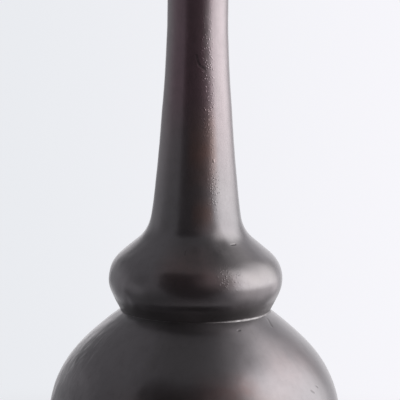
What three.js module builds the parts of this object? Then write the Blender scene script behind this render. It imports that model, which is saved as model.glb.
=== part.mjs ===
// Bronze bottle vase: a squat globe on a foot ring, a round knop over it and a long
// tapering neck with a flared mouth. It is made as a metalworker makes it, from turned
// shells that lap at their joints and are brazed there.
// Millimetres, +Z up. The origin is the centre of the felt that the vase stands on.

import * as THREE from "three";

// Fits
const JOINT_GAP = 0.3; // room for braze between two lapped walls
const WALL = 2.6; // wall of the body and of the neck

// Foot
const FELT_THICKNESS = 2;
const FELT_INSET = 2.5; // from the foot ring's edge to the felt's edge
const FOOT_R = 48.5; // foot ring at the felt
const FOOT_TOP_R = 45.5; // foot ring where it meets the bowl
const FOOT_EDGE_R = 1.5; // rounding of the foot ring's lower edge
const FOOT_RING_WIDTH = 9; // across its standing face
const PLATE_LEDGE = 3; // ledge in the foot ring that the base plate seats against
const PLATE_THICKNESS = 3;
const BOWL_CLEARANCE = 2; // from the base plate to the bowl above it

// Body
const BELLY_R = 93.6; // widest radius
const BOWL_SECTION_R = 73; // curve of the lower half, from the belly to the flat bottom
const BELLY_SECTION_R = 72.8; // curve of the upper half at the belly
const SHOULDER_ANGLE = THREE.MathUtils.degToRad(44.2); // where that curve runs into the shoulder
const SHOULDER_SECTION_R = 195; // flatter curve of the shoulder
const STRAP_WIDTH = 16; // backing strap inside the belly seam
const STRAP_THICKNESS = 2;

// Socket in the body's mouth, and the spigot of the neck in it
const SEAT_WIDTH = 3; // flat seat round the socket
const SOCKET_DEPTH = 6;
const SPIGOT_LENGTH = 8;
const SPIGOT_WALL = 2.4;
const BEAD_R = 0.5; // fine bead round the seat, half sunk in the shoulder

// Knop
const KNOP_R = 55.4; // widest radius
const KNOP_SECTION_R = 21.1;
const KNOP_OVERHANG = 7.8; // from the knop's widest radius in to the crease under it
const KNOP_UNDERCUT = THREE.MathUtils.degToRad(27); // lean of the cone under the knop
const OGEE_FLAT = 14.5; // straight stretch between the knop and the neck's fillet
const FILLET_R = 23.2; // hollow between the knop and the neck

// Neck
const NECK_FOOT_R = 28.7; // where the neck runs into its fillet
const NECK_TAPER = THREE.MathUtils.degToRad(9.9); // lean of the wall there
const NECK_LENGTH = 123.3; // from there up to the waist
const WAIST_R = 19.2;
const WAIST_PULL = 20.9; // how long the wall stays upright below the waist
const FOOT_PULL = 22; // how long it keeps its lean above the fillet
const STRAIGHT_NECK = 39.5; // plain tube from the waist up to the mouth ring

// Mouth ring
const TONGUE_LENGTH = 6; // lap of the neck inside the mouth ring
const FLARE_R = 34; // hollow curve of the flare
const FLARE_ANGLE = THREE.MathUtils.degToRad(40);
const LIP_R = 2; // rounded lip

// Finishes
const BRONZE = { color: 0x4b4144, metalness: 1, roughness: 0.32 };
const BARE_METAL = { color: 0x8a7350, metalness: 1, roughness: 0.5 };
const FELT = { color: 0x2b2a2a, metalness: 0, roughness: 1 };

// Facets
const TURN_STEPS = 48; // round the axis
const FINE_STEP = 0.16; // largest turn of an outline between two points, radians
const COARSE_STEP = 0.3; // the same on an inner wall, which is hardly seen
const EDGE_STEP = 0.6; // the same round a lip or an edge
const NECK_STEPS = 7; // along the neck's long curve, outside
const BORE_STEPS = 4; // the same inside

const vec = (r, z) => new THREE.Vector2(r, z);
const polar = (centre, radius, angle) =>
  vec(centre.x + radius * Math.cos(angle), centre.y + radius * Math.sin(angle));

// Points of an arc in the outline, from one angle to another.
function arc(centre, radius, from, to, step = FINE_STEP) {
  const count = Math.max(1, Math.ceil(Math.abs(to - from) / step));
  const curve = new THREE.EllipseCurve(centre.x, centre.y, radius, radius, from, to, to < from);
  return curve.getPoints(count);
}

// A closed outline turned about +Z. The outline runs up its outer side and down its inner one.
function turned(name, outline, finish) {
  const closed = outline[0].x > 0 ? [...outline, outline[0].clone()] : outline;
  const geometry = new THREE.LatheGeometry(closed, TURN_STEPS).rotateX(Math.PI / 2);
  const mesh = new THREE.Mesh(geometry, new THREE.MeshStandardMaterial(finish));
  mesh.name = name;
  return mesh;
}

// Levels and centres, from the floor up
const plateBottom = FELT_THICKNESS;
const plateTop = plateBottom + PLATE_THICKNESS;
const bowlBottom = plateTop + BOWL_CLEARANCE;
const bellyLevel = bowlBottom + BOWL_SECTION_R;
const bowlCentre = vec(BELLY_R - BOWL_SECTION_R, bellyLevel);
const bellyCentre = vec(BELLY_R - BELLY_SECTION_R, bellyLevel);
const shoulderCentre = polar(bellyCentre, BELLY_SECTION_R - SHOULDER_SECTION_R, SHOULDER_ANGLE);
// reach of the strap above and below the seam
const strapAngle = Math.asin(STRAP_WIDTH / 2 / (BELLY_SECTION_R - WALL - JOINT_GAP));

const creaseR = KNOP_R - KNOP_OVERHANG;
const shoulderAngleAt = (r, radius) => Math.acos((r - shoulderCentre.x) / radius);
const creaseLevel = polar(shoulderCentre, SHOULDER_SECTION_R, shoulderAngleAt(creaseR, SHOULDER_SECTION_R)).y;
const socketR = creaseR - SEAT_WIDTH;

// The cone under the knop leaves the knop's round section at KNOP_UNDERCUT and ends in the crease.
const underR = KNOP_R - KNOP_SECTION_R * (1 - Math.cos(KNOP_UNDERCUT));
const underLevel = creaseLevel + (underR - creaseR) / Math.tan(KNOP_UNDERCUT);
const knopCentre = vec(KNOP_R - KNOP_SECTION_R, underLevel + KNOP_SECTION_R * Math.sin(KNOP_UNDERCUT));

// The fillet's centre lies so far from the knop's that a line OGEE_FLAT long touches both rounds.
const filletCentreR = NECK_FOOT_R + FILLET_R * Math.cos(NECK_TAPER);
const centreDistance = Math.hypot(FILLET_R + KNOP_SECTION_R, OGEE_FLAT);
const centreRise = Math.sqrt(centreDistance ** 2 - (filletCentreR - knopCentre.x) ** 2);
const filletCentre = vec(filletCentreR, knopCentre.y + centreRise);
const ogeeAngle =
  Math.atan2(centreRise, filletCentreR - knopCentre.x) - Math.atan2(OGEE_FLAT, FILLET_R + KNOP_SECTION_R);

const neckFoot = polar(filletCentre, -FILLET_R, NECK_TAPER);
const waist = vec(WAIST_R, neckFoot.y + NECK_LENGTH);
const mouthLevel = waist.y + STRAIGHT_NECK;
const tongueR = WAIST_R - (WALL + JOINT_GAP) / 2;

// The neck's wall between its foot and its waist, as seen in section.
const neckCurve = new THREE.CubicBezierCurve(
  neckFoot,
  vec(neckFoot.x - FOOT_PULL * Math.sin(NECK_TAPER), neckFoot.y + FOOT_PULL * Math.cos(NECK_TAPER)),
  vec(waist.x, waist.y - WAIST_PULL),
  waist,
);

// One side of the neck and knop from the crease up to the waist, set in from the outside by depth.
function neckSide(depth, step, steps) {
  const knop = arc(knopCentre, KNOP_SECTION_R - depth, -KNOP_UNDERCUT, ogeeAngle, step);
  const fillet = arc(filletCentre, FILLET_R + depth, ogeeAngle + Math.PI, Math.PI + NECK_TAPER, step);
  const wall = [];
  for (let i = 1; i <= steps; i++) {
    const along = neckCurve.getTangent(i / steps);
    wall.push(neckCurve.getPoint(i / steps).add(vec(-along.y, along.x).multiplyScalar(depth)));
  }
  return [...knop, ...fillet, ...wall];
}

function neck() {
  const spigotR = socketR - JOINT_GAP;
  const spigotBore = spigotR - SPIGOT_WALL;
  const ledge = creaseLevel + WALL;
  // the inner wall stands WALL in from the cone, which is wider than WALL on the level
  const ledgeR = creaseR + WALL * Math.tan(KNOP_UNDERCUT) - WALL / Math.cos(KNOP_UNDERCUT);
  const boreR = WAIST_R - WALL;
  const outline = [
    vec(spigotBore, creaseLevel - SPIGOT_LENGTH),
    vec(spigotR, creaseLevel - SPIGOT_LENGTH),
    vec(spigotR, creaseLevel),
    vec(creaseR, creaseLevel),
    ...neckSide(0, FINE_STEP, NECK_STEPS),
    vec(WAIST_R, mouthLevel),
    vec(tongueR, mouthLevel),
    vec(tongueR, mouthLevel + TONGUE_LENGTH),
    vec(boreR, mouthLevel + TONGUE_LENGTH),
    ...neckSide(WALL, COARSE_STEP, BORE_STEPS).reverse(),
    vec(ledgeR, ledge),
    vec(spigotBore, ledge),
  ];
  return turned("neck", outline, BRONZE);
}

function mouthRing() {
  const centre = vec(WAIST_R + FLARE_R, mouthLevel);
  const outerEnd = Math.PI - FLARE_ANGLE;
  const boreR = WAIST_R - WALL;
  const socket = tongueR + JOINT_GAP;
  const socketTop = mouthLevel + TONGUE_LENGTH + JOINT_GAP;
  const lipCentre = polar(centre, FLARE_R + WALL / 2, outerEnd);
  // above the socket the bore is plain until the flare's inner curve has cleared it
  const bore = arc(centre, FLARE_R + WALL, outerEnd, Math.PI, COARSE_STEP).filter((p) => p.y > socketTop);
  const outline = [
    vec(socket, mouthLevel),
    ...arc(centre, FLARE_R, Math.PI, outerEnd),
    ...arc(lipCentre, LIP_R, outerEnd - Math.PI, outerEnd, EDGE_STEP),
    ...bore,
    vec(boreR, socketTop),
    vec(socket, socketTop),
  ];
  return turned("mouth_ring", outline, BRONZE);
}

function bodyUpper() {
  const innerShoulderR = SHOULDER_SECTION_R - WALL;
  const socketBottom = creaseLevel - SOCKET_DEPTH;
  const beadCentre = vec(creaseR + JOINT_GAP + BEAD_R, creaseLevel - BEAD_R / 2);
  const beadEnd = Math.PI - Math.asin((creaseLevel - beadCentre.y) / BEAD_R);
  const beadFoot = shoulderAngleAt(beadCentre.x + BEAD_R, SHOULDER_SECTION_R);
  const innerEnd = Math.asin((socketBottom - shoulderCentre.y) / innerShoulderR);
  const outline = [
    ...arc(bellyCentre, BELLY_SECTION_R, 0, SHOULDER_ANGLE).slice(0, -1),
    ...arc(shoulderCentre, SHOULDER_SECTION_R, SHOULDER_ANGLE, beadFoot),
    ...arc(beadCentre, BEAD_R, 0, beadEnd, EDGE_STEP),
    vec(socketR, creaseLevel),
    vec(socketR, socketBottom),
    ...arc(shoulderCentre, innerShoulderR, innerEnd, SHOULDER_ANGLE, COARSE_STEP),
    ...arc(bellyCentre, BELLY_SECTION_R - WALL, SHOULDER_ANGLE, strapAngle, COARSE_STEP).slice(1),
    vec(BELLY_R - WALL, bellyLevel),
  ];
  return turned("body_upper", outline, BRONZE);
}

function bodyLower() {
  const outline = [
    vec(0, bowlBottom),
    ...arc(bowlCentre, BOWL_SECTION_R, -Math.PI / 2, 0),
    vec(BELLY_R - WALL, bellyLevel),
    ...arc(bowlCentre, BOWL_SECTION_R - WALL, -strapAngle, -Math.PI / 2, COARSE_STEP),
    vec(0, bowlBottom + WALL),
  ];
  return turned("body_lower", outline, BRONZE);
}

// A strap of sheet behind the seam, spun to the curve of the two walls that it bridges.
function bellyStrap() {
  const side = (depth) => [
    polar(bowlCentre, BOWL_SECTION_R - depth, -strapAngle),
    vec(BELLY_R - depth, bellyLevel),
    polar(bellyCentre, BELLY_SECTION_R - depth, strapAngle),
  ];
  const outer = WALL + JOINT_GAP;
  return turned("belly_strap", [...side(outer), ...side(outer + STRAP_THICKNESS).reverse()], BARE_METAL);
}

function footRing() {
  const seatR = BOWL_SECTION_R + JOINT_GAP;
  const seatAngle = (r) => -Math.acos((r - bowlCentre.x) / seatR);
  const innerR = FOOT_R - FOOT_RING_WIDTH;
  const edge = vec(FOOT_R - FOOT_EDGE_R, plateBottom + FOOT_EDGE_R);
  const outline = [
    vec(innerR + PLATE_LEDGE, plateBottom),
    ...arc(edge, FOOT_EDGE_R, -Math.PI / 2, 0, EDGE_STEP),
    ...arc(bowlCentre, seatR, seatAngle(FOOT_TOP_R), seatAngle(innerR), COARSE_STEP),
    vec(innerR, plateTop),
    vec(innerR + PLATE_LEDGE, plateTop),
  ];
  return turned("foot_ring", outline, BRONZE);
}

// A disc about the axis between two levels.
function disc(name, radius, bottom, top, finish) {
  return turned(name, [vec(0, bottom), vec(radius, bottom), vec(radius, top), vec(0, top)], finish);
}

const basePlate = () =>
  disc("base_plate", FOOT_R - FOOT_RING_WIDTH + PLATE_LEDGE - JOINT_GAP, plateBottom, plateTop, BARE_METAL);
const feltPad = () => disc("felt_pad", FOOT_R - FELT_INSET, 0, FELT_THICKNESS, FELT);

const vase = new THREE.Group();
vase.add(mouthRing(), neck(), bodyUpper(), bellyStrap(), bodyLower(), footRing(), basePlate(), feltPad());

export default vase;
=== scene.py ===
# Dresses the bronze bottle vase: finely turned shells in place of the faceted solids, a waxed
# dark patina, the braze line under the knop, felt under the foot, a pale floor and studio light.
# The part's sizes are in millimetres, as it is drawn. Objects are in metres, +Z up.

import math
from collections import namedtuple

import bpy
from mathutils import Matrix, Vector, noise


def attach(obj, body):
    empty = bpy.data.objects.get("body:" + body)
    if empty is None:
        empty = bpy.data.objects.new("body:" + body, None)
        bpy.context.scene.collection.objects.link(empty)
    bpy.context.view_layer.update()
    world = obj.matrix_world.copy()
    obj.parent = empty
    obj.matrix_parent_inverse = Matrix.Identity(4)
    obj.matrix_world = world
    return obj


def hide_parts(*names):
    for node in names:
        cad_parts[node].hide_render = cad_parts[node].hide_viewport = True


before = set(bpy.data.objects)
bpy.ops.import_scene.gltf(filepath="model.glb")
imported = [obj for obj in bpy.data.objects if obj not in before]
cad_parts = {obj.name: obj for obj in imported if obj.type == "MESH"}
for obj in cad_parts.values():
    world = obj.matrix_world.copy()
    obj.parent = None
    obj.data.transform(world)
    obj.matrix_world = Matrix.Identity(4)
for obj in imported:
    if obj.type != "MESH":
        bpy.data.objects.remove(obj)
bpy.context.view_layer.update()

MM = 0.001

# Fits and walls of the part
JOINT_GAP = 0.3
WALL = 2.6

# Foot
FELT_THICKNESS = 2
FELT_INSET = 2.5
FELT_EDGE_R = 0.8
FOOT_R = 48.5
FOOT_TOP_R = 45.5
FOOT_EDGE_R = 1.5
FOOT_RING_WIDTH = 9
PLATE_LEDGE = 3
PLATE_THICKNESS = 3
BOWL_CLEARANCE = 2

# Body
BELLY_R = 93.6
BOWL_SECTION_R = 73
BELLY_SECTION_R = 72.8
SHOULDER_ANGLE = math.radians(44.2)
SHOULDER_SECTION_R = 195
STRAP_WIDTH = 16

# Socket in the body's mouth, and the spigot of the neck in it
SEAT_WIDTH = 3
SOCKET_DEPTH = 6
SPIGOT_LENGTH = 8
SPIGOT_WALL = 2.4
BRAZE_R = 1.1  # hollow curve of the braze between the shoulder and the knop
BRAZE_UNEVEN = 0.35  # share by which it grows and shrinks round the vase
BRAZE_SIDE = math.radians(-20)  # the side that it ran to, from +X round to +Y
BRAZE_THIN = 0.12  # its share of the size on the other side
BRAZE_FADE = 2.5  # how steeply it thins with the cosine of the turn from the side that it ran to
BRAZE_END = 0.35  # that cosine where it would run out
BRAZE_SINK = 0.15  # depth of its root in the two walls
BRAZE_STEPS = 6

# Knop
KNOP_R = 55.4
KNOP_SECTION_R = 21.1
KNOP_OVERHANG = 7.8
KNOP_UNDERCUT = math.radians(27)
OGEE_FLAT = 14.5
FILLET_R = 23.2

# Neck
NECK_FOOT_R = 28.7
NECK_TAPER = math.radians(9.9)
NECK_LENGTH = 123.3
WAIST_R = 19.2
WAIST_PULL = 20.9
FOOT_PULL = 22
STRAIGHT_NECK = 39.5

# Mouth ring
TONGUE_LENGTH = 6
FLARE_R = 34
FLARE_ANGLE = math.radians(40)
LIP_R = 2
LIP_WEAR = 0.05  # rubbed off the lip

# Hand finish: how far the skin's hollows lie below its crests, and the width of its waves. The crests
# lie on the true curve up to the belly, and the middle of the waves lies on it from PROUD_FROM up.
UNEVEN = 0.5
WAVE_MIDDLE = 0.5  # share of that depth at the middle of the waves
PROUD_FROM = 25  # over the belly
BROAD_WAVE = 24
FINE_WAVE = 6.5
BROAD_SHARE = 0.34
FINE_SHARE, FINE_ON_LEFT = 0.13, 0.55  # the body's left was filed less smoothly

# Mesh
TURN_STEPS = 240
OUTER_SPACING = 2.4  # along an outline that is seen
INNER_SPACING = 6  # along an inner wall
ROUND_STEP = 0.16  # largest turn of an outline between two points, radians
SHARP_EDGE = math.radians(32)

# Camera, as the photograph was taken
CAMERA_DISTANCE = 1.70
CAMERA_HEIGHT_ANGLE = math.radians(8.09)
CAMERA_ROLL = math.radians(0.485)
CAMERA_LENS = 240.9
PICTURE_CENTRE = 70.41  # height of the picture's centre over the crease under the knop
PICTURE_SHIFT = 2.4  # from the vase's axis to the picture's centre


def vec(r, z):
    return Vector((r, z))


def polar(centre, radius, angle):
    return centre + radius * vec(math.cos(angle), math.sin(angle))


def limited(value, low=0):
    return min(1, max(low, value))


def towards(side, up):
    """Direction with the camera at side 0 and the vase's right at a quarter turn."""
    return Vector((math.sin(side) * math.cos(up), -math.cos(side) * math.cos(up), math.sin(up)))


def arc(centre, radius, start, end, spacing=OUTER_SPACING):
    """Points of an arc in an outline, from one angle to another."""
    turn = abs(end - start)
    count = math.ceil(turn * max(radius / spacing, 1 / ROUND_STEP))
    return [polar(centre, radius, start + (end - start) * i / count) for i in range(count + 1)]


def line(start, end, spacing=OUTER_SPACING):
    """Points of a straight stretch, both ends included."""
    count = max(1, math.ceil((end - start).length / spacing))
    return [start.lerp(end, i / count) for i in range(count + 1)]


turns = [2 * math.pi * i / TURN_STEPS for i in range(TURN_STEPS)]

# Levels and centres, from the floor up
plate_bottom = FELT_THICKNESS
plate_top = plate_bottom + PLATE_THICKNESS
bowl_bottom = plate_top + BOWL_CLEARANCE
belly_level = bowl_bottom + BOWL_SECTION_R
bowl_centre = vec(BELLY_R - BOWL_SECTION_R, belly_level)
belly_centre = vec(BELLY_R - BELLY_SECTION_R, belly_level)
shoulder_centre = polar(belly_centre, BELLY_SECTION_R - SHOULDER_SECTION_R, SHOULDER_ANGLE)
strap_angle = math.asin(STRAP_WIDTH / 2 / (BELLY_SECTION_R - WALL - JOINT_GAP))

crease_r = KNOP_R - KNOP_OVERHANG
crease_angle = math.acos((crease_r - shoulder_centre.x) / SHOULDER_SECTION_R)
crease_level = polar(shoulder_centre, SHOULDER_SECTION_R, crease_angle).y
socket_r = crease_r - SEAT_WIDTH

under_r = KNOP_R - KNOP_SECTION_R * (1 - math.cos(KNOP_UNDERCUT))
under_level = crease_level + (under_r - crease_r) / math.tan(KNOP_UNDERCUT)
knop_centre = vec(KNOP_R - KNOP_SECTION_R, under_level + KNOP_SECTION_R * math.sin(KNOP_UNDERCUT))

fillet_centre_r = NECK_FOOT_R + FILLET_R * math.cos(NECK_TAPER)
centre_distance = math.hypot(FILLET_R + KNOP_SECTION_R, OGEE_FLAT)
centre_rise = math.sqrt(centre_distance**2 - (fillet_centre_r - knop_centre.x) ** 2)
fillet_centre = vec(fillet_centre_r, knop_centre.y + centre_rise)
ogee_angle = math.atan2(centre_rise, fillet_centre_r - knop_centre.x)
ogee_angle -= math.atan2(OGEE_FLAT, FILLET_R + KNOP_SECTION_R)

neck_foot = polar(fillet_centre, -FILLET_R, NECK_TAPER)
waist = vec(WAIST_R, neck_foot.y + NECK_LENGTH)
mouth_level = waist.y + STRAIGHT_NECK
tongue_r = WAIST_R - (WALL + JOINT_GAP) / 2
bore_r = WAIST_R - WALL


def neck_curve(depth, spacing):
    """The neck's wall between its foot and its waist, set in from the outside by depth."""
    lean = vec(-math.sin(NECK_TAPER), math.cos(NECK_TAPER))
    pulls = [neck_foot, neck_foot + FOOT_PULL * lean, waist - vec(0, WAIST_PULL), waist]
    count = math.ceil(NECK_LENGTH / spacing)
    points = []
    for i in range(1, count + 1):
        t = i / count
        rows = [pulls]
        while len(rows[-1]) > 1:
            row = rows[-1]
            rows.append([a.lerp(b, t) for a, b in zip(row, row[1:])])
        along = (rows[-2][1] - rows[-2][0]).normalized()
        points.append(rows[-1][0] + depth * vec(-along.y, along.x))
    return points


def neck_side(depth, spacing):
    """One side of the knop and neck from the cone under the knop up to the waist."""
    knop = arc(knop_centre, KNOP_SECTION_R - depth, -KNOP_UNDERCUT, ogee_angle, spacing)
    fillet = arc(fillet_centre, FILLET_R + depth, ogee_angle + math.pi, math.pi + NECK_TAPER, spacing)
    return knop[:-1] + line(knop[-1], fillet[0], spacing) + fillet[1:] + neck_curve(depth, spacing)


def stand_in(point):
    """How far the hand-finished skin stands in from the true curve at a point, or out if below nought."""
    broad = noise.noise(point / BROAD_WAVE)
    fine = noise.noise(point / FINE_WAVE)
    below_the_neck = limited((neck_foot.y - point.z) / (neck_foot.y - knop_centre.y))
    leftward = limited(-point.x / point.xy.length)
    fine_share = FINE_SHARE + (FINE_ON_LEFT - FINE_SHARE) * below_the_neck * leftward
    share = WAVE_MIDDLE + BROAD_SHARE * broad + fine_share * fine
    proud = WAVE_MIDDLE * limited((point.z - belly_level) / PROUD_FROM)
    return UNEVEN * (limited(share) - proud)


def ring_point(point, turn):
    """A point of an outline at an angle round the axis, with the hand finish on it."""
    place = Vector((point.x * math.cos(turn), point.x * math.sin(turn), point.y))
    reach = max(0, point.x - stand_in(place) * min(1, point.x / BROAD_WAVE))
    return Vector((reach * math.cos(turn), reach * math.sin(turn), point.y)) * MM


def shell(name, outline_at, closed=True):
    """A mesh of an outline turned about +Z. outline_at gives the outline at an angle round the axis.
    An outline that isn't closed starts and ends on the axis."""
    verts, rings = [], []
    outlines = [outline_at(turn) for turn in turns]
    for k, first in enumerate(outlines[0]):
        if first.x == 0:
            rings.append([len(verts)] * TURN_STEPS)
            verts.append(Vector((0, 0, first.y)) * MM)
            continue
        rings.append(range(len(verts), len(verts) + TURN_STEPS))
        for outline, turn in zip(outlines, turns):
            verts.append(ring_point(outline[k], turn))
    faces = []
    uppers = rings[1:] + rings[:1] if closed else rings[1:]
    for lower, upper in zip(rings, uppers):
        for i in range(TURN_STEPS):
            j = (i + 1) % TURN_STEPS
            corners = [lower[i], lower[j], upper[j], upper[i]]
            faces.append(list(dict.fromkeys(corners)))  # on the axis two corners are one
    mesh = bpy.data.meshes.new(name)
    mesh.from_pydata(verts, [], faces)
    mesh.shade_smooth()
    mesh.set_sharp_from_angle(angle=SHARP_EDGE)
    piece = bpy.data.objects.new(name, mesh)
    bpy.context.scene.collection.objects.link(piece)
    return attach(piece, "root")


def turned(name, outline, closed=True):
    return shell(name, lambda turn: outline, closed)


# The pieces


def mouth_ring():
    centre = vec(WAIST_R + FLARE_R, mouth_level)
    flare_end = math.pi - FLARE_ANGLE
    socket = tongue_r + JOINT_GAP
    socket_top = mouth_level + TONGUE_LENGTH + JOINT_GAP
    lip_centre = polar(centre, FLARE_R + WALL / 2, flare_end)
    bore = arc(centre, FLARE_R + WALL, flare_end, math.pi)
    outline = [
        vec(socket, mouth_level),
        *arc(centre, FLARE_R, math.pi, flare_end),
        *arc(lip_centre, LIP_R - LIP_WEAR, flare_end - math.pi, flare_end),
        *[p for p in bore if p.y > socket_top],
        vec(bore_r, socket_top),
        vec(socket, socket_top),
    ]
    return turned("mouth_ring_fine", outline)


def neck():
    spigot_r = socket_r - JOINT_GAP
    spigot_bore = spigot_r - SPIGOT_WALL
    ledge = crease_level + WALL
    ledge_r = crease_r + WALL * math.tan(KNOP_UNDERCUT) - WALL / math.cos(KNOP_UNDERCUT)
    outside = neck_side(0, OUTER_SPACING)
    inside = neck_side(WALL, INNER_SPACING)
    outline = [
        vec(spigot_bore, crease_level - SPIGOT_LENGTH),
        vec(spigot_r, crease_level - SPIGOT_LENGTH),
        vec(spigot_r, crease_level),
        *line(vec(crease_r, crease_level), outside[0])[:-1],
        *outside[:-1],
        *line(waist, vec(WAIST_R, mouth_level)),
        vec(tongue_r, mouth_level),
        vec(tongue_r, mouth_level + TONGUE_LENGTH),
        vec(bore_r, mouth_level + TONGUE_LENGTH),
        *line(vec(bore_r, mouth_level), inside[-1], INNER_SPACING)[:-1],
        *reversed(inside),
        vec(ledge_r, ledge),
        vec(spigot_bore, ledge),
    ]
    return turned("neck_fine", outline)


def body_upper():
    inner_r = SHOULDER_SECTION_R - WALL
    socket_bottom = crease_level - SOCKET_DEPTH
    inner_end = math.asin((socket_bottom - shoulder_centre.y) / inner_r)
    inner_belly = arc(belly_centre, BELLY_SECTION_R - WALL, SHOULDER_ANGLE, strap_angle, INNER_SPACING)
    outline = [
        *arc(belly_centre, BELLY_SECTION_R, 0, SHOULDER_ANGLE)[:-1],
        *arc(shoulder_centre, SHOULDER_SECTION_R, SHOULDER_ANGLE, crease_angle),
        vec(socket_r, crease_level),
        vec(socket_r, socket_bottom),
        *arc(shoulder_centre, inner_r, inner_end, SHOULDER_ANGLE, INNER_SPACING),
        *inner_belly[1:],
        vec(BELLY_R - WALL, belly_level),
    ]
    return turned("body_upper_fine", outline)


def body_lower():
    outline = [
        *line(vec(0, bowl_bottom), vec(bowl_centre.x, bowl_bottom), INNER_SPACING)[:-1],
        *arc(bowl_centre, BOWL_SECTION_R, -math.pi / 2, 0),
        vec(BELLY_R - WALL, belly_level),
        *arc(bowl_centre, BOWL_SECTION_R - WALL, -strap_angle, -math.pi / 2, INNER_SPACING),
        vec(0, bowl_bottom + WALL),
    ]
    return turned("body_lower_fine", outline, closed=False)


def foot_ring():
    seat_r = BOWL_SECTION_R + JOINT_GAP
    inner_r = FOOT_R - FOOT_RING_WIDTH
    seat_start, seat_end = (-math.acos((r - bowl_centre.x) / seat_r) for r in (FOOT_TOP_R, inner_r))
    edge = vec(FOOT_R - FOOT_EDGE_R, plate_bottom + FOOT_EDGE_R)
    outer_edge = arc(edge, FOOT_EDGE_R, -math.pi / 2, 0)
    seat = arc(bowl_centre, seat_r, seat_start, seat_end)
    outline = [
        vec(inner_r + PLATE_LEDGE, plate_bottom),
        *outer_edge[:-1],
        *line(outer_edge[-1], seat[0]),
        *seat[1:],
        vec(inner_r, plate_top),
        vec(inner_r + PLATE_LEDGE, plate_top),
    ]
    return turned("foot_ring_fine", outline)


def braze_line():
    """The hollow run of braze in the crease, which grows and shrinks a little round the vase."""
    cone = vec(math.sin(KNOP_UNDERCUT), math.cos(KNOP_UNDERCUT))
    slope = vec(math.sin(crease_angle), -math.cos(crease_angle))
    middle = (cone + slope).normalized()
    half_angle = cone.angle(slope) / 2
    crease = vec(crease_r, crease_level)
    sweep = math.pi - 2 * half_angle

    def outline_at(turn):
        wave = noise.noise(Vector((math.cos(turn), math.sin(turn), 0)) * crease_r / FINE_WAVE)
        full = limited(BRAZE_FADE * (math.cos(turn - BRAZE_SIDE) - BRAZE_END), BRAZE_THIN)
        radius = BRAZE_R * full * (1 + BRAZE_UNEVEN * wave)
        centre = crease + middle * radius / math.sin(half_angle)
        low = crease + slope * radius / math.tan(half_angle) - centre
        start = math.atan2(low.y, low.x)
        hollow = [polar(centre, radius, start - sweep * i / BRAZE_STEPS) for i in range(BRAZE_STEPS + 1)]
        return [crease - middle * BRAZE_SINK, *hollow]

    return shell("braze_line", outline_at)


def felt():
    radius = FOOT_R - FELT_INSET
    low_edge = vec(radius - FELT_EDGE_R, FELT_EDGE_R)
    outline = [
        *line(vec(0, 0), vec(low_edge.x, 0))[:-1],
        *arc(low_edge, FELT_EDGE_R, -math.pi / 2, 0),
        vec(radius, FELT_THICKNESS),
        vec(0, FELT_THICKNESS),
    ]
    return turned("felt_fine", outline, closed=False)


# Nodes


def material(name):
    made = bpy.data.materials.new(name)
    made.use_nodes = True
    return made, made.node_tree, made.node_tree.nodes["Principled BSDF"]


def feed(tree, node, inputs):
    """Sets inputs of a node to values or links them to sockets."""
    for name, value in inputs.items():
        if isinstance(value, bpy.types.NodeSocket):
            tree.links.new(value, node.inputs[name])
        else:
            node.inputs[name].default_value = value


def add(tree, kind, inputs=None, **settings):
    """A new node with its settings made and its inputs fed."""
    made = tree.nodes.new("ShaderNode" + kind)
    for name, value in settings.items():
        setattr(made, name, value)
    feed(tree, made, inputs or {})
    return made


def maths(tree, operation, first, second):
    return add(tree, "Math", {0: first, 1: second}, operation=operation).outputs[0]


def speckle(tree, place, scale, detail=2, roughness=0.5, distortion=0):
    """Soft noise, about 0 to 1, with features some 1 / scale metres wide."""
    inputs = {"Vector": place, "Scale": scale, "Detail": detail}
    inputs.update({"Roughness": roughness, "Distortion": distortion})
    return add(tree, "TexNoise", inputs).outputs["Fac"]


def ramp(tree, value, low, high, to_low=0, to_high=1):
    """value taken smoothly from low..high to to_low..to_high."""
    inputs = {"Value": value, "From Min": low, "From Max": high, "To Min": to_low, "To Max": to_high}
    return add(tree, "MapRange", inputs, interpolation_type="SMOOTHSTEP").outputs["Result"]


# Numbers of the sockets of a node that mixes colours
MIX_SHARE, MIX_FIRST, MIX_SECOND, MIX_RESULT = 0, 6, 7, 2


def blend(tree, share, first, second):
    """Two colours mixed by a share. A colour is a socket or three numbers."""
    made = add(tree, "Mix", {MIX_SHARE: share}, data_type="RGBA")
    for socket, colour in ((MIX_FIRST, first), (MIX_SECOND, second)):
        feed(tree, made, {socket: colour if isinstance(colour, bpy.types.NodeSocket) else (*colour, 1)})
    return made.outputs[MIX_RESULT]


def bump(tree, height, distance, strength=1):
    inputs = {"Strength": strength, "Distance": distance, "Height": height}
    return add(tree, "Bump", inputs).outputs["Normal"]


def across_axis(tree, place):
    """A place without its height."""
    return add(tree, "VectorMath", {0: place, 1: (1, 1, 0)}, operation="MULTIPLY").outputs["Vector"]


# Patina, with painted highlights and painted shade. Sides are in degrees with the camera at 0 and the vase's
# right at 90, and a spread is the turn from there to the edge. Heights and reaches are in millimetres,
# heights over the floor.
CHARCOAL = (0.196, 0.183, 0.190)
ASH = (0.182, 0.172, 0.178)
PALE_PLUM = (0.213, 0.185, 0.193)
DEEP_PLUM = (0.250, 0.172, 0.198)
# soot of the patina, also painted in as shade in the crease and under the knop
SOOT_AND_SHADE = (0.11, 0.10, 0.102)
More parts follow.
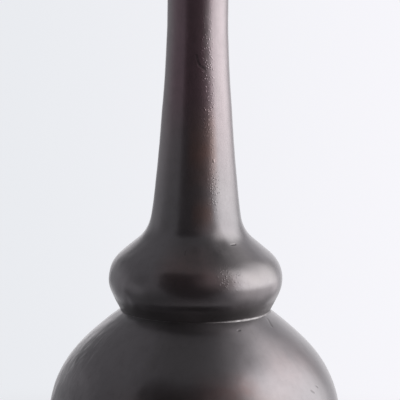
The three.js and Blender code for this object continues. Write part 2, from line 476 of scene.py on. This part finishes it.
# painted shade under the knop
PAINTED_SHADE_BLACK = (0.060, 0.055, 0.056)
RUBBED = (0.42, 0.30, 0.21)
DULL_FROM, DULL_FULL = 196, 218  # between these heights charcoal gives way to a duller ash
BROWN_FROM, BROWN_FULL = 212, 285  # and here to the pale plum of the neck
PLUM_FROM, PLUM_FULL = 258, 300  # and here to deep plum, on one side
PLUM_SIDE, PLUM_SPREAD = -14, 52
GRIME_AND_SHADE_BELOW = 0.4  # reach of the dull dirt and painted shade under the crease
GRIME_AND_SHADE_FULL, GRIME_AND_SHADE_ABOVE = 5, 11  # heights over the crease between which the dirt and painted shade end
# share of soot painted in as dirt and shade in the crease and under the knop
GRIME_AND_SHADE_SHARE = 0.85
DUST_BELOW, DUST_FULL = 7, 1  # depths under the crease between which a film of dust sets in
WIPED_SIDE, WIPED_SPREAD, WIPED_SHARE = -20, 42, 0.4  # stretch with less dust, and the share left there
DIRT_SHARE = 0.6  # soot in the sunk marks
LIP_RUB_FROM, LIP_RUB_FULL, LIP_RUB_SHARE = 22, 25, 0.8  # heights over the foot of the mouth ring
FOOT_RUB_FULL, FOOT_RUB_END, FOOT_RUB_SHARE = 0.3, 1.6, 0.7  # heights over the foot ring's underside

# Stains, and patches of painted highlight and painted shade: side, spread, height, reach, colour
STAINS_AND_PAINTED_LIGHT = {
    # pale patina, raised further as a painted highlight on the neck's right
    "pale patina and painted highlight on the neck's right": (58, 24, 318, 70, (0.240, 0.207, 0.216)),
    # painted highlight along the left edge of the neck's highlight
    "painted highlight along the neck's grains": (21, 13, 330, 45, (0.295, 0.257, 0.268)),
    # painted highlight on the lower neck
    "painted highlight on the side of the neck's foot": (38, 18, 228, 20, (0.212, 0.200, 0.206)),
    "brown run down the neck": (9, 27, 259, 34, (0.272, 0.183, 0.165)),
    "brown at the foot of the neck": (8, 18, 219, 14, (0.235, 0.176, 0.164)),
    "red front of the knop": (0, 34, 186, 18, (0.248, 0.194, 0.194)),
    # painted highlight in the knop's highlight
    "painted highlight on the knop's side": (50, 26, 182, 13, (0.222, 0.206, 0.206)),
    # painted shade over the knop's highlight
    "painted shade on the knop's top": (36, 30, 187, 12, (0.145, 0.135, 0.138)),
    # painted shade on the slope over the knop
    "painted shade on the slope over the knop": (29, 24, 196, 14, (0.108, 0.101, 0.103)),
    # painted shade at the left edge of the knop's highlight
    "painted shade at the edge of the knop's highlight": (20, 8, 182, 11, (0.135, 0.122, 0.123)),
    # painted highlight in the hollow over the knop
    "painted highlight in the hollow over the knop": (47, 16, 202, 7, (0.224, 0.212, 0.216)),
    # painted shade beside the highlight at the neck's foot
    "painted shade at the neck's foot": (24, 11, 207, 8, (0.14, 0.13, 0.132)),
    # painted light over the shoulder's dark reflection of the knop's underside
    "painted light on the shoulder under the knop": (-50, 34, 152.5, 4, (0.32, 0.31, 0.32)),
    # painted shade on the side away from the lamp
    "painted shade on the shoulder's left": (-82, 22, 130, 16, (0.135, 0.127, 0.131)),
    # painted shade low on the side away from the lamp
    "painted shade low on the shoulder's left": (-66, 20, 103, 14, (0.125, 0.117, 0.122)),
    "warm side of the shoulder": (56, 26, 128, 20, (0.222, 0.193, 0.198)),
    "red low on the shoulder": (14, 17, 118, 12, (0.180, 0.134, 0.132)),
    # brown stain, darkened further as painted shade
    "brown stain and painted shade low on the shoulder": (4, 50, 94, 30, (0.176, 0.132, 0.125)),
}
# Painted shade under the knop, the darkest of it: side, spread, height, reach, share
PAINTED_SHADE_UNDER_KNOP = {"on the right": (30, 34, 157, 9, 1), "on the left": (-44, 30, 157, 8, 0.5)}
# Rough spots of the casting: side, spread, height, reach
ROUGH_SPOTS = {
    "down the neck": (19, 17, 308, 74),
    "lower on the neck": (25, 13, 233, 26),
    "side of the knop": (24, 13, 181, 11),
}
FILED = (-95, 62, 122, 40)  # where a file ran over the casting, in the same terms

# Small marks: side and height of both ends, half width in millimetres, rise in relief units
MARKS = {
    "fleck on the neck": ((-17, 329), (-17, 328), 0.8, 6),
    "top of the ripple on the neck": ((-2, 317), (3, 311), 1.4, -8),
    "end of the ripple": ((3, 311), (14, 308), 1.4, -9),
    "fleck low on the neck": ((26, 251.5), (26, 250.5), 0.9, 18),
    "pit over the knop": ((38, 199), (43, 199), 1.0, -20),
    "nick over the knop": ((-9, 196.5), (-9, 194.5), 0.8, -8),
    "pit under the braze": ((30, 148), (31, 148), 1.2, -14),
    "dent under the braze": ((65, 150.5), (61, 147), 1.8, -16),
    "pit on the shoulder": ((57, 110.5), (58.5, 109), 1.3, -18),
    "pit beside it": ((62, 112), (63, 111), 1.0, -12),
}

# Noises of the skin. A squeeze shortens the upright streaks and file strokes.
STREAKS, STREAK_SQUEEZE = {"scale": 24, "detail": 3, "roughness": 0.6}, 4
STROKES, STROKE_SQUEEZE = {"scale": 13, "detail": 2, "roughness": 0.55, "distortion": 0.6}, 9
CLOUDS = {"scale": 34, "detail": 4, "roughness": 0.6}
PATCHES = {"scale": 60, "detail": 5, "roughness": 0.62, "distortion": 0.4}
MOTTLE = {"scale": 150, "detail": 4, "roughness": 0.65}
CASTING = {"scale": 650, "detail": 2}
NOISE_SPAN = (0.3, 0.7)  # most of a noise lies between these levels
# Levels of a noise between which something sets in, and the share of soot, or the least share of a stain
SOOT_IN = {"streaks": (0.5, 0.8, 0.12), "clouds": (0.55, 0.8, 0.08), "mottle": (0.42, 0.68, 0.14)}
STAIN_FROM, STAIN_FULL, STAIN_LEAST = 0.3, 0.6, 0.5
RUB_FROM, RUB_FULL = 0.35, 0.6

# Gloss: roughness of the skin and what lies on it, and the share of the metal's mirror that is covered
ROUGH_LEAST, ROUGH_MOST = 0.28, 0.30
STREAKS_ROUGH, DULL_ROUGH, GRIME_ROUGH = 0.01, 0.02, 0.2
DULL_COVER, GRIME_COVER, DUST_COVER = 0.14, 0.2, 0.42
WAX_COAT, WAX_ROUGH = 0.25, 0.1

# Relief, its rises in units of a hundredth of a millimetre
RELIEF_UNIT = 0.01 * MM
SMALL_GRAINS, SMALL_GRAIN_RISE = {"scale": 760, "size": 0.45, "share": 0.65}, 14
LARGE_GRAINS, LARGE_GRAIN_RISE = {"scale": 430, "size": 0.3, "share": 0.4}, 17
PITS, PIT_RISE = {"scale": 60, "size": 0.05, "share": 0.16}, -10
CASTING_RISE, ROUGH_CASTING_RISE = 1.2, 3
STREAK_RISE = 1.5
STROKE_RISE = 55

# Where a material is on the vase: the node tree, and sockets for the place, its height and its side
Skin = namedtuple("Skin", "tree place height outward")


def skin_of(tree):
    place = add(tree, "TexCoord").outputs["Object"]
    height = add(tree, "SeparateXYZ", {"Vector": place}).outputs["Z"]
    outward = add(tree, "VectorMath", {0: across_axis(tree, place)}, operation="NORMALIZE")
    return Skin(tree, place, height, outward.outputs["Vector"])


def skin_point(side, level):
    """A point of the vase's outside, from the belly up to the waist."""
    belly = arc(belly_centre, BELLY_SECTION_R, 0, SHOULDER_ANGLE)
    shoulder = arc(shoulder_centre, SHOULDER_SECTION_R, SHOULDER_ANGLE, crease_angle)
    outside = belly[:-1] + shoulder + neck_side(0, OUTER_SPACING)
    radius = WAIST_R
    for low, high in zip(outside, outside[1:]):
        if low.y <= level <= high.y:
            radius = low.lerp(high, (level - low.y) / (high.y - low.y)).x
    return (radius * towards(math.radians(side), 0) + Vector((0, 0, level))) * MM


def upright(skin, squeeze):
    """A place for noise that keeps to its side of the vase and runs up and down it."""
    inputs = {0: skin.place, 1: (0, 0, squeeze), 2: skin.outward}
    return add(skin.tree, "VectorMath", inputs, operation="MULTIPLY_ADD").outputs["Vector"]


def climb(skin, low, high, to_low=0, to_high=1):
    """Taken smoothly from to_low to to_high between two heights."""
    return ramp(skin.tree, skin.height, low * MM, high * MM, to_low, to_high)


def side_patch(skin, side, spread):
    """1 on one side of the vase, down to 0 at spread degrees from it."""
    inputs = {0: skin.outward, 1: towards(math.radians(side), 0)}
    facing = add(skin.tree, "VectorMath", inputs, operation="DOT_PRODUCT").outputs["Value"]
    return ramp(skin.tree, facing, math.cos(math.radians(spread)), 1)


def patch_at(skin, side, spread, level, reach):
    """A soft patch round a side of the vase and a height."""
    off = maths(skin.tree, "SUBTRACT", skin.height, level * MM)
    off = add(skin.tree, "Math", {0: off}, operation="ABSOLUTE").outputs[0]
    tall = ramp(skin.tree, off, 0, reach * MM, 1, 0)
    return maths(skin.tree, "MULTIPLY", tall, side_patch(skin, side, spread))


def dots(skin, scale, size, share):
    """Soft round spots, 1 at their middles, in a share of the cells some 1 / scale metres wide."""
    cells = add(skin.tree, "TexVoronoi", {"Vector": skin.place, "Scale": scale}, feature="F1").outputs
    draw = add(skin.tree, "SeparateColor", {"Color": cells["Color"]}).outputs["Red"]
    spot = ramp(skin.tree, cells["Distance"], 0, size, 1, 0)
    return maths(skin.tree, "MULTIPLY", spot, maths(skin.tree, "LESS_THAN", draw, share))


def mark(skin, start, end, half_width):
    """A short soft line between two points of the skin, 1 along its middle."""
    tree, along = skin.tree, end - start
    from_start = add(tree, "VectorMath", {0: skin.place, 1: start}, operation="SUBTRACT").outputs["Vector"]
    inputs = {0: from_start, 1: along / along.length_squared}
    reach = add(tree, "VectorMath", inputs, operation="DOT_PRODUCT").outputs["Value"]
    share = add(tree, "Clamp", {"Value": reach}).outputs[0]
    foot = add(tree, "VectorMath", {0: along, "Scale": share}, operation="SCALE").outputs["Vector"]
    off = add(tree, "VectorMath", {0: from_start, 1: foot}, operation="DISTANCE").outputs["Value"]
    return ramp(tree, off, 0, half_width * MM, 1, 0)


def all_marks(skin):
    """The rise of the small marks, and the dirt in those that are sunk."""
    rises, dirt = 0, 0
    for start, end, half_width, rise in MARKS.values():
        trace = mark(skin, skin_point(*start), skin_point(*end), half_width)
        rises = maths(skin.tree, "ADD", rises, maths(skin.tree, "MULTIPLY", trace, rise))
        if rise < 0:
            dirt = maths(skin.tree, "MAXIMUM", dirt, trace)
    return rises, dirt


def grime_and_shade_on(skin):
    """Dirt and painted shade in the crease and under the knop."""
    below = climb(skin, crease_level - GRIME_AND_SHADE_BELOW, crease_level)
    above = climb(skin, crease_level + GRIME_AND_SHADE_FULL, crease_level + GRIME_AND_SHADE_ABOVE, 1, 0)
    return maths(skin.tree, "MULTIPLY", below, above)


def dust_on(skin):
    """A film of dust on the shoulder up to the crease, thinner where it was wiped."""
    film = climb(skin, crease_level - DUST_BELOW, crease_level - DUST_FULL)
    under = maths(skin.tree, "LESS_THAN", skin.height, crease_level * MM)
    wiped = ramp(skin.tree, side_patch(skin, WIPED_SIDE, WIPED_SPREAD), 0, 1, 1, WIPED_SHARE)
    return maths(skin.tree, "MULTIPLY", maths(skin.tree, "MULTIPLY", film, under), wiped)


def patina_and_painted_light_colour(skin, noises, dull, grime_and_shade, dirt):
    tree = skin.tree
    colour = blend(tree, dull, CHARCOAL, ASH)
    colour = blend(tree, climb(skin, BROWN_FROM, BROWN_FULL), colour, PALE_PLUM)
    plum = climb(skin, PLUM_FROM, PLUM_FULL)
    plum = maths(tree, "MULTIPLY", plum, side_patch(skin, PLUM_SIDE, PLUM_SPREAD))
    colour = blend(tree, plum, colour, DEEP_PLUM)
    uneven = ramp(tree, noises["patches"], STAIN_FROM, STAIN_FULL, STAIN_LEAST, 1)
    # stains, painted highlights and painted shade
    for *where, tint in STAINS_AND_PAINTED_LIGHT.values():
        colour = blend(tree, maths(tree, "MULTIPLY", patch_at(skin, *where), uneven), colour, tint)
    for name, (start, full, share) in SOOT_IN.items():
        colour = blend(tree, ramp(tree, noises[name], start, full, 0, share), colour, SOOT_AND_SHADE)
    # soot in the sunk marks, then dirt and painted shade in the crease and under the knop
    for layer, share in ((dirt, DIRT_SHARE), (grime_and_shade, GRIME_AND_SHADE_SHARE)):
        colour = blend(tree, maths(tree, "MULTIPLY", layer, share), colour, SOOT_AND_SHADE)
    # painted shade under the knop
    for *where, share in PAINTED_SHADE_UNDER_KNOP.values():
        colour = blend(tree, maths(tree, "MULTIPLY", patch_at(skin, *where), share), colour, PAINTED_SHADE_BLACK)
    lip = climb(skin, mouth_level + LIP_RUB_FROM, mouth_level + LIP_RUB_FULL, 0, LIP_RUB_SHARE)
    foot = climb(skin, plate_bottom + FOOT_RUB_FULL, plate_bottom + FOOT_RUB_END, FOOT_RUB_SHARE, 0)
    worn = ramp(tree, noises["patches"], RUB_FROM, RUB_FULL)
    worn = maths(tree, "MULTIPLY", maths(tree, "MAXIMUM", lip, foot), worn)
    return blend(tree, worn, colour, RUBBED)


def gloss(skin, noises, dull, grime_and_shade):
    """Roughness of the waxed skin."""
    tree = skin.tree
    rough = ramp(tree, noises["clouds"], *NOISE_SPAN, ROUGH_LEAST, ROUGH_MOST)
    rough = maths(tree, "ADD", rough, ramp(tree, noises["streaks"], *NOISE_SPAN, 0, STREAKS_ROUGH))
    for layer, more in ((dull, DULL_ROUGH), (grime_and_shade, GRIME_ROUGH)):
        rough = maths(tree, "ADD", rough, ramp(tree, layer, 0, 1, 0, more))
    return rough


def mirror(skin, dull, grime_and_shade, dust):
    """Share of the skin that shows the metal's mirror."""
    tree = skin.tree
    dull = ramp(tree, dull, 0, 1, 0, DULL_COVER)
    grime_and_shade = ramp(tree, grime_and_shade, 0, 1, 0, GRIME_COVER)
    dust = maths(tree, "MULTIPLY", dust, DUST_COVER)
    covered = maths(tree, "MAXIMUM", maths(tree, "MAXIMUM", dull, grime_and_shade), dust)
    return maths(tree, "SUBTRACT", 1, covered)


def relief(skin, noises, marks):
    """Height of the skin's grains, pits, streaks, file strokes and marks in relief units."""
    tree = skin.tree
    rough = 0
    for where in ROUGH_SPOTS.values():
        rough = maths(tree, "MAXIMUM", rough, patch_at(skin, *where))
    small = maths(tree, "MULTIPLY", dots(skin, **SMALL_GRAINS), SMALL_GRAIN_RISE)
    large = maths(tree, "MULTIPLY", dots(skin, **LARGE_GRAINS), LARGE_GRAIN_RISE)
    casting_rise = ramp(tree, rough, 0, 1, CASTING_RISE, ROUGH_CASTING_RISE)
    strokes = speckle(tree, upright(skin, STROKE_SQUEEZE), **STROKES)
    strokes = maths(tree, "MULTIPLY", strokes, patch_at(skin, *FILED))
    layers = [
        maths(tree, "MULTIPLY", speckle(tree, skin.place, **CASTING), casting_rise),
        maths(tree, "MULTIPLY", noises["streaks"], STREAK_RISE),
        maths(tree, "MULTIPLY", strokes, STROKE_RISE),
        maths(tree, "MULTIPLY", dots(skin, **PITS), PIT_RISE),
        marks,
    ]
    height = maths(tree, "MULTIPLY", maths(tree, "ADD", small, large), rough)
    for layer in layers:
        height = maths(tree, "ADD", height, layer)
    return height


# Materials


def bronze():
    """Dark waxed bronze: plum and brown on the neck, charcoal below, with stains, streaks and marks, and
    painted highlights and painted shade on the neck, knop and shoulder.
    """
    made, tree, shader = material("waxed_bronze")
    skin = skin_of(tree)
    noises = {
        "streaks": speckle(tree, upright(skin, STREAK_SQUEEZE), **STREAKS),
        "clouds": speckle(tree, skin.place, **CLOUDS),
        "patches": speckle(tree, skin.place, **PATCHES),
        "mottle": speckle(tree, skin.place, **MOTTLE),
    }
    dull = climb(skin, DULL_FROM, DULL_FULL)
    grime_and_shade = grime_and_shade_on(skin)
    marks, dirt = all_marks(skin)
    inputs = {
        "Base Color": patina_and_painted_light_colour(skin, noises, dull, grime_and_shade, dirt),
        "Roughness": gloss(skin, noises, dull, grime_and_shade),
        "Metallic": mirror(skin, dull, grime_and_shade, dust_on(skin)),
        "Coat Weight": WAX_COAT,
        "Coat Roughness": WAX_ROUGH,
        "Normal": bump(tree, relief(skin, noises, marks), RELIEF_UNIT),
    }
    feed(tree, shader, inputs)
    return made


BRAZE_BRIGHT, BRAZE_DULL = (0.27, 0.26, 0.262), (0.19, 0.18, 0.182)
BRAZE_TARNISH = {"scale": 180, "detail": 4, "roughness": 0.6}
BRAZE_TARNISHED = (0.35, 0.65)  # levels of that noise between which the tarnish sets in
BRAZE_ROUGH = (0.32, 0.46)


def braze_metal():
    """Braze, brighter than the bronze, with a thin uneven tarnish."""
    made, tree, shader = material("braze_metal")
    tarnish = speckle(tree, add(tree, "TexCoord").outputs["Object"], **BRAZE_TARNISH)
    inputs = {
        "Base Color": blend(tree, ramp(tree, tarnish, *BRAZE_TARNISHED), BRAZE_BRIGHT, BRAZE_DULL),
        "Roughness": ramp(tree, tarnish, *NOISE_SPAN, *BRAZE_ROUGH),
        "Metallic": 1,
    }
    feed(tree, shader, inputs)
    return made


SHEET_BRIGHT, SHEET_BROWN = (0.33, 0.25, 0.14), (0.20, 0.145, 0.09)
SHEET_TARNISH = {"scale": 45, "detail": 5, "roughness": 0.65}
SHEET_TARNISHED = (0.35, 0.7)  # levels of that noise between which the tarnish sets in
SHEET_ROUGH = (0.4, 0.58)
LATHE_RINGS = {"scale": 2600, "detail": 2}
LATHE_RING_DEPTH, LATHE_RING_STRENGTH = 0.08 * MM, 0.5


def bare_metal():
    """Sheet metal as it left the lathe, with fine rings and a dull brown tarnish."""
    made, tree, shader = material("bare_metal")
    place = add(tree, "TexCoord").outputs["Object"]
    height = add(tree, "SeparateXYZ", {"Vector": place}).outputs["Z"]
    radius = add(tree, "VectorMath", {0: across_axis(tree, place)}, operation="LENGTH").outputs["Value"]
    section = add(tree, "CombineXYZ", {"X": radius, "Y": height}).outputs["Vector"]
    rings = speckle(tree, section, **LATHE_RINGS)
    tarnish = speckle(tree, place, **SHEET_TARNISH)
    inputs = {
        "Base Color": blend(tree, ramp(tree, tarnish, *SHEET_TARNISHED), SHEET_BRIGHT, SHEET_BROWN),
        "Roughness": ramp(tree, tarnish, *NOISE_SPAN, *SHEET_ROUGH),
        "Metallic": 1,
        "Normal": bump(tree, rings, LATHE_RING_DEPTH, LATHE_RING_STRENGTH),
    }
    feed(tree, shader, inputs)
    return made


FELT_DARK, FELT_PALE = (0.018, 0.017, 0.017), (0.055, 0.052, 0.05)
FELT_FIBRES = {"scale": 900, "detail": 4, "roughness": 0.7, "distortion": 2.5}
FIBRE_EDGES = (0.35, 0.65)  # levels of that noise between which a dark fibre turns pale
FIBRE_DEPTH, FIBRE_STRENGTH = 0.3 * MM, 0.8
FELT_WORN = (0.03, 0.028, 0.027)
FELT_WEAR = {"scale": 160, "detail": 3}
FELT_WEAR_FROM, FELT_WEAR_FULL, FELT_WEAR_SHARE = 0.4, 0.7, 0.4
FELT_SHEEN = 0.3


def felt_cloth():
    """Pressed wool felt: matted fibres in two greys, worn to one in places."""
    made, tree, shader = material("wool_felt")
    place = add(tree, "TexCoord").outputs["Object"]
    fibres = speckle(tree, place, **FELT_FIBRES)
    colour = blend(tree, ramp(tree, fibres, *FIBRE_EDGES), FELT_DARK, FELT_PALE)
    wear = speckle(tree, place, **FELT_WEAR)
    wear = ramp(tree, wear, FELT_WEAR_FROM, FELT_WEAR_FULL, 0, FELT_WEAR_SHARE)
    inputs = {
        "Base Color": blend(tree, wear, colour, FELT_WORN),
        "Roughness": 1,
        "Sheen Weight": FELT_SHEEN,
        "Normal": bump(tree, fibres, FIBRE_DEPTH, FIBRE_STRENGTH),
    }
    feed(tree, shader, inputs)
    return made


# Studio, in metres

PALE_LEFT, PALE_RIGHT = (0.81, 0.828, 0.862), (0.935, 0.927, 0.97)
PALE_EDGE = 0.11  # sideways share of a direction at which the sweep has its left or its right tone
FLOOR_PAINT, FLOOR_TOOTH_PAINT = (0.74, 0.74, 0.75), (0.7178, 0.7178, 0.7275)
FLOOR_TOOTH = {"scale": 350, "detail": 3}
FLOOR_DROP = 0.1 * MM  # below the felt
FLOOR_R = 9.0
FLOOR_GLOW = 0.25  # share of the pale tone that the floor shows of itself beside the vase
SHADOW_NEAR, SHADOW_FAR = 0.2, 0.5  # from the vase's shadow to the plain pale sweep
MIRRORED_NEAR, MIRRORED_FAR = 0.12, 0.22  # the metal mirrors the floor close to it only

KEY_DISTANCE = 0.72  # the lamp stands upright on the vase's right, a softbox that fades at its edges
KEY_FRONT, KEY_BACK = -0.83, 0.78
KEY_BOTTOM, KEY_TOP = 0.012, 1.40
KEY_FADE_FRONT, KEY_FADE_BACK = 0.373, 0.36  # shares of its width
KEY_FADE_TOP, KEY_FADE_BOTTOM = 0.65, 0.1  # shares of its height
KEY_LEVEL = 2.5

LEFT_FILL = (0.27, 0.27, 0.285)
# What the metal mirrors, as soft patches, each over those before it: side and height of its middle in
# degrees, seen from the vase with the camera at side 0 and the right at 90, half width, blur, colour
SURROUNDINGS = {
    "left wall": (-112, -14, 34, 28, (0.465, 0.465, 0.488)),
    "shade on the left": (-84, 12, 16, 32, (0.21, 0.21, 0.22)),
    "shade low on the left": (-105, -27, 13, 24, (0.18, 0.18, 0.189)),
    "shade lower on the left": (-124, -35, 7, 12, (0.26, 0.26, 0.273)),
    "ceiling": (0, 80, 28, 26, (0.16, 0.16, 0.165)),
    "light over the key lamp": (86, 53, 15, 26, (0.66, 0.645, 0.655)),
    "spill of the key lamp": (70, 14, 30, 40, (0.75, 0.72, 0.735)),
    "ground at the left": (-40, -62, 48, 36, (0.12, 0.12, 0.125)),
    "ground at the front": (5, -44, 32, 30, (0.13, 0.12, 0.125)),
    "ground at the right": (100, -42, 45, 36, (0.34, 0.329, 0.335)),
    "ground at the lamp's front": (76, -19, 15, 30, (1.32, 1.27, 1.275)),
    "ground by the lamp": (106, -18, 16, 30, (1.4, 1.36, 1.375)),
    "right wall": (150, 8, 30, 34, (0.80, 0.79, 0.82)),
    "gap behind the lamp": (139, 14, 7, 12, (0.55, 0.54, 0.555)),
    "light high at the right": (126, 52, 11, 18, (1.15, 1.125, 1.14)),
    "paper behind the lamp": (131, -11, 9, 14, (1.75, 1.67, 1.71)),
    "paper low at the right": (152, -26, 10, 20, (1.1, 1.07, 1.09)),
    "paper low at the left": (-160, -20, 7, 14, (1.0, 1.0, 1.03)),
    "edge of the paper": (-145, 6, 8, 14, (0.50, 0.50, 0.52)),
    "backdrop": (177, 8, 26, 18, (1.1, 1.085, 1.12)),
    "dark room": (-3, 11, 44, 6, (0.052, 0.046, 0.049)),
    "dark corner": (-38, 41, 14, 10, (0.040, 0.036, 0.039)),
    "warm curtain": (38, 25, 20, 40, (0.39, 0.33, 0.337)),
    "light over the lamp's front": (70, 39, 15, 15, (1.2, 1.165, 1.18)),
}


def pale_backdrop(tree, sideways):
    """The paper sweep behind the vase, lighter on the side of the lamp."""
    return blend(tree, ramp(tree, sideways, -PALE_EDGE, PALE_EDGE), PALE_LEFT, PALE_RIGHT)


def surroundings():
    world = bpy.data.worlds.new("studio")
    bpy.context.scene.world = world
    world.use_nodes = True
    tree = world.node_tree
    direction = add(tree, "TexCoord").outputs["Generated"]
    colour = LEFT_FILL
    for side, up, half_width, blur, tint in SURROUNDINGS.values():
        middle = towards(math.radians(side), math.radians(up))
        facing = add(tree, "VectorMath", {0: direction, 1: middle}, operation="DOT_PRODUCT").outputs["Value"]
        angle = add(tree, "Math", {0: facing}, operation="ARCCOSINE").outputs[0]
        inner = math.radians(half_width - blur / 2)
        outer = math.radians(half_width + blur / 2)
        colour = blend(tree, ramp(tree, angle, inner, outer, 1, 0), colour, tint)
    sideways = add(tree, "SeparateXYZ", {"Vector": direction}).outputs["X"]
    seen = add(tree, "LightPath").outputs["Is Camera Ray"]
    feed(tree, tree.nodes["Background"], {"Color": blend(tree, seen, colour, pale_backdrop(tree, sideways))})


def key_lamp():
    lamp = bpy.data.lights.new("key_lamp", "AREA")
    lamp.shape = "RECTANGLE"
    lamp.size = KEY_BACK - KEY_FRONT
    lamp.size_y = KEY_TOP - KEY_BOTTOM
    lamp.energy = KEY_LEVEL * math.pi * lamp.size * lamp.size_y
    lamp.use_nodes = True
    tree = lamp.node_tree
    spot = add(tree, "NewGeometry").outputs["Parametric"]
    spot = add(tree, "SeparateXYZ", {"Vector": spot}).outputs
    front = ramp(tree, spot["X"], 0, KEY_FADE_FRONT)
    back = ramp(tree, spot["X"], 1 - KEY_FADE_BACK, 1, 1, 0)
    top = ramp(tree, spot["Y"], 1 - KEY_FADE_TOP, 1, 1, 0)
    bottom = ramp(tree, spot["Y"], 0, KEY_FADE_BOTTOM)
    level = maths(tree, "MULTIPLY", front, back)
    level = maths(tree, "MULTIPLY", level, maths(tree, "MULTIPLY", top, bottom))
    feed(tree, tree.nodes["Emission"], {"Strength": level})

    holder = bpy.data.objects.new("key_lamp", lamp)
    bpy.context.scene.collection.objects.link(holder)
    out = Vector((1, 0, 0))
    holder.location = (KEY_DISTANCE, (KEY_FRONT + KEY_BACK) / 2, (KEY_BOTTOM + KEY_TOP) / 2)
    holder.rotation_mode = "QUATERNION"
    holder.rotation_quaternion = out.to_track_quat("Z", "Y")
    holder.visible_camera = False


def paper_sweep():
    """Pale paper under the vase's shadow, which runs into the plain backdrop farther out."""
    made, tree, shader = material("paper_sweep")
    place = add(tree, "TexCoord").outputs["Object"]
    tooth = ramp(tree, speckle(tree, place, **FLOOR_TOOTH), *NOISE_SPAN)
    paint = blend(tree, tooth, FLOOR_PAINT, FLOOR_TOOTH_PAINT)
    feed(tree, shader, {"Base Color": paint, "Roughness": 1, "Specular IOR Level": 0})

    outward = add(tree, "VectorMath", {0: place}, operation="LENGTH").outputs["Value"]
    right = add(tree, "SeparateXYZ", {"Vector": place}).outputs["X"]
    tone = pale_backdrop(tree, maths(tree, "DIVIDE", right, maths(tree, "ADD", outward, CAMERA_DISTANCE)))
    ray = add(tree, "LightPath").outputs
    glow_level = maths(tree, "MULTIPLY", ray["Is Camera Ray"], FLOOR_GLOW)
    glow = add(tree, "Emission", {"Color": tone, "Strength": glow_level}).outputs[0]
    near = add(tree, "AddShader", {0: shader.outputs["BSDF"], 1: glow}).outputs[0]
    far = add(tree, "Emission", {"Color": tone}).outputs[0]
    beyond = maths(tree, "MULTIPLY", ray["Is Camera Ray"], ramp(tree, outward, SHADOW_NEAR, SHADOW_FAR))
    lit = add(tree, "MixShader", {0: beyond, 1: near, 2: far}).outputs[0]
    unseen = maths(tree, "MULTIPLY", ray["Is Glossy Ray"], ramp(tree, outward, MIRRORED_NEAR, MIRRORED_FAR))
    clear = add(tree, "BsdfTransparent").outputs[0]
    mixed = add(tree, "MixShader", {0: unseen, 1: lit, 2: clear}).outputs[0]
    feed(tree, tree.nodes["Material Output"], {"Surface": mixed})
    return made


def floor():
    mesh = bpy.data.meshes.new("floor")
    rim = [Vector((FLOOR_R * math.cos(t), FLOOR_R * math.sin(t), -FLOOR_DROP)) for t in turns]
    mesh.from_pydata(rim, [], [range(TURN_STEPS)])
    mesh.materials.append(paper_sweep())
    ground = bpy.data.objects.new("floor", mesh)
    bpy.context.scene.collection.objects.link(ground)


def camera():
    lens = bpy.data.cameras.new("camera")
    lens.lens = CAMERA_LENS
    holder = bpy.data.objects.new("camera", lens)
    bpy.context.scene.collection.objects.link(holder)
    back = towards(0, CAMERA_HEIGHT_ANGLE)
    level_right = Vector((1, 0, 0))
    level_up = back.cross(level_right)
    right = level_right * math.cos(CAMERA_ROLL) + level_up * math.sin(CAMERA_ROLL)
    up = back.cross(right)
    aim = Vector((0, 0, (crease_level + PICTURE_CENTRE) * MM)) + right * PICTURE_SHIFT * MM
    turn = Matrix((right, up, back)).transposed().to_4x4()
    holder.matrix_world = Matrix.Translation(aim + back * CAMERA_DISTANCE) @ turn
    bpy.context.scene.camera = holder


def dress(piece, finish, slot, *nodes):
    """Gives a piece its material and hides the CAD nodes that it stands for. The slot is not used."""
    piece.data.materials.append(finish)
    if nodes:
        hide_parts(*nodes)
    return piece


patina = bronze()
dress(mouth_ring(), patina, "bronze", "mouth_ring")
dress(neck(), patina, "bronze", "neck")
dress(body_upper(), patina, "bronze", "body_upper")
dress(body_lower(), patina, "bronze", "body_lower")
dress(foot_ring(), patina, "bronze", "foot_ring")
dress(braze_line(), braze_metal(), "bronze")
dress(felt(), felt_cloth(), "felt", "felt_pad")

tarnished = bare_metal()
for name in ("belly_strap", "base_plate"):
    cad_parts[name].material_slots[0].material = tarnished

camera()
key_lamp()
surroundings()
floor()
bpy.context.scene.view_settings.view_transform = "Standard"
